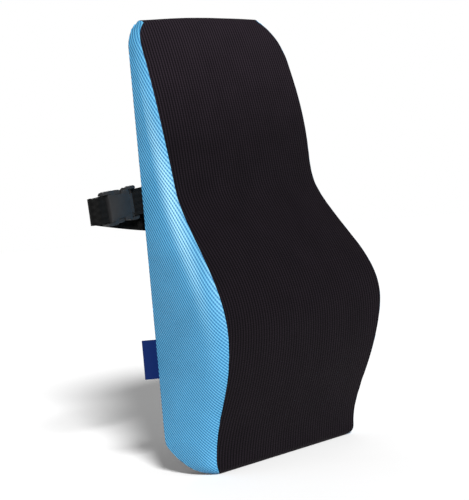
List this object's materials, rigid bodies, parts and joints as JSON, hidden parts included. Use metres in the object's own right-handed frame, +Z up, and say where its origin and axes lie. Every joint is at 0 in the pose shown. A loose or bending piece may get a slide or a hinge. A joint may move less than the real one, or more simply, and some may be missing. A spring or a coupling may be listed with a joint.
{
  "type": "lumbar support cushion",
  "caption": "Tall contoured back cushion for a chair: a foam core with a swollen lumbar zone in a zipped mesh cover, held to the chair back by a webbing strap with a side-release buckle.",
  "frame": {"origin": "on the floor under the middle of the cushion's width and of its base's depth, on the flat base", "axes": "+Z up, the contoured front faces -Y, the flat back and the strap face +Y, +X is to the right of a person looking at the front"},
  "size_m": [0.4105, 0.1279, 0.56],
  "materials": {
    "black_mesh": "matte",
    "blue_mesh": "matte",
    "liner_cloth": "matte",
    "memory_foam": "matte",
    "zip_tape": "matte",
    "zip_coil": "satin",
    "zip_metal": "satin",
    "webbing": "matte",
    "thread": "matte",
    "buckle_plastic": "satin",
    "label_ribbon": "satin"
  },
  "bodies": {
    "cushion": {"front_panel": "black_mesh", "back_panel": "black_mesh", "lower_back_panel": "black_mesh", "base_panel": "black_mesh", "left_side_panel": "blue_mesh", "right_side_panel": "blue_mesh", "inner_liner": "liner_cloth", "foam_core": "memory_foam", "zip_tape_upper": "zip_tape", "zip_tape_lower": "zip_tape", "zip_coil_upper": "zip_coil", "zip_coil_lower": "zip_coil", "zip_stops": "zip_metal", "buckle_tab": "webbing", "strap_webbing": "webbing", "left_stitching": "thread", "right_stitching": "thread", "buckle_plug": "buckle_plastic", "buckle_socket": "buckle_plastic", "seam_label": "label_ribbon"},
    "slider": {"zip_slider": "zip_metal"},
    "pull": {"zip_pull": "zip_metal"},
    "upper_latch": {"latch_arm_upper": "buckle_plastic"},
    "lower_latch": {"latch_arm_lower": "buckle_plastic"}
  },
  "joints": [
    {"name": "zip_slide", "type": "slide", "parent": "cushion", "child": "slider", "axis": [-1, 0, 0], "range_m": [0, 0.2915]},
    {"name": "pull_swing", "type": "hinge", "parent": "slider", "child": "pull", "pos_m": [0.14602, 0.0395, 0.075], "axis": [0, 0, -1], "range_deg": [0, 170]},
    {"name": "upper_latch_squeeze", "type": "hinge", "parent": "cushion", "child": "upper_latch", "pos_m": [-0.17854, 0.0414, 0.35245], "axis": [0, -1, 0], "range_deg": [0, 9], "stiffness_Nm_per_rad": 1.5},
    {"name": "lower_latch_squeeze", "type": "hinge", "parent": "cushion", "child": "lower_latch", "pos_m": [-0.17601, 0.0414, 0.32356], "axis": [0, 1, 0], "range_deg": [0, 9], "stiffness_Nm_per_rad": 1.5}
  ]
}
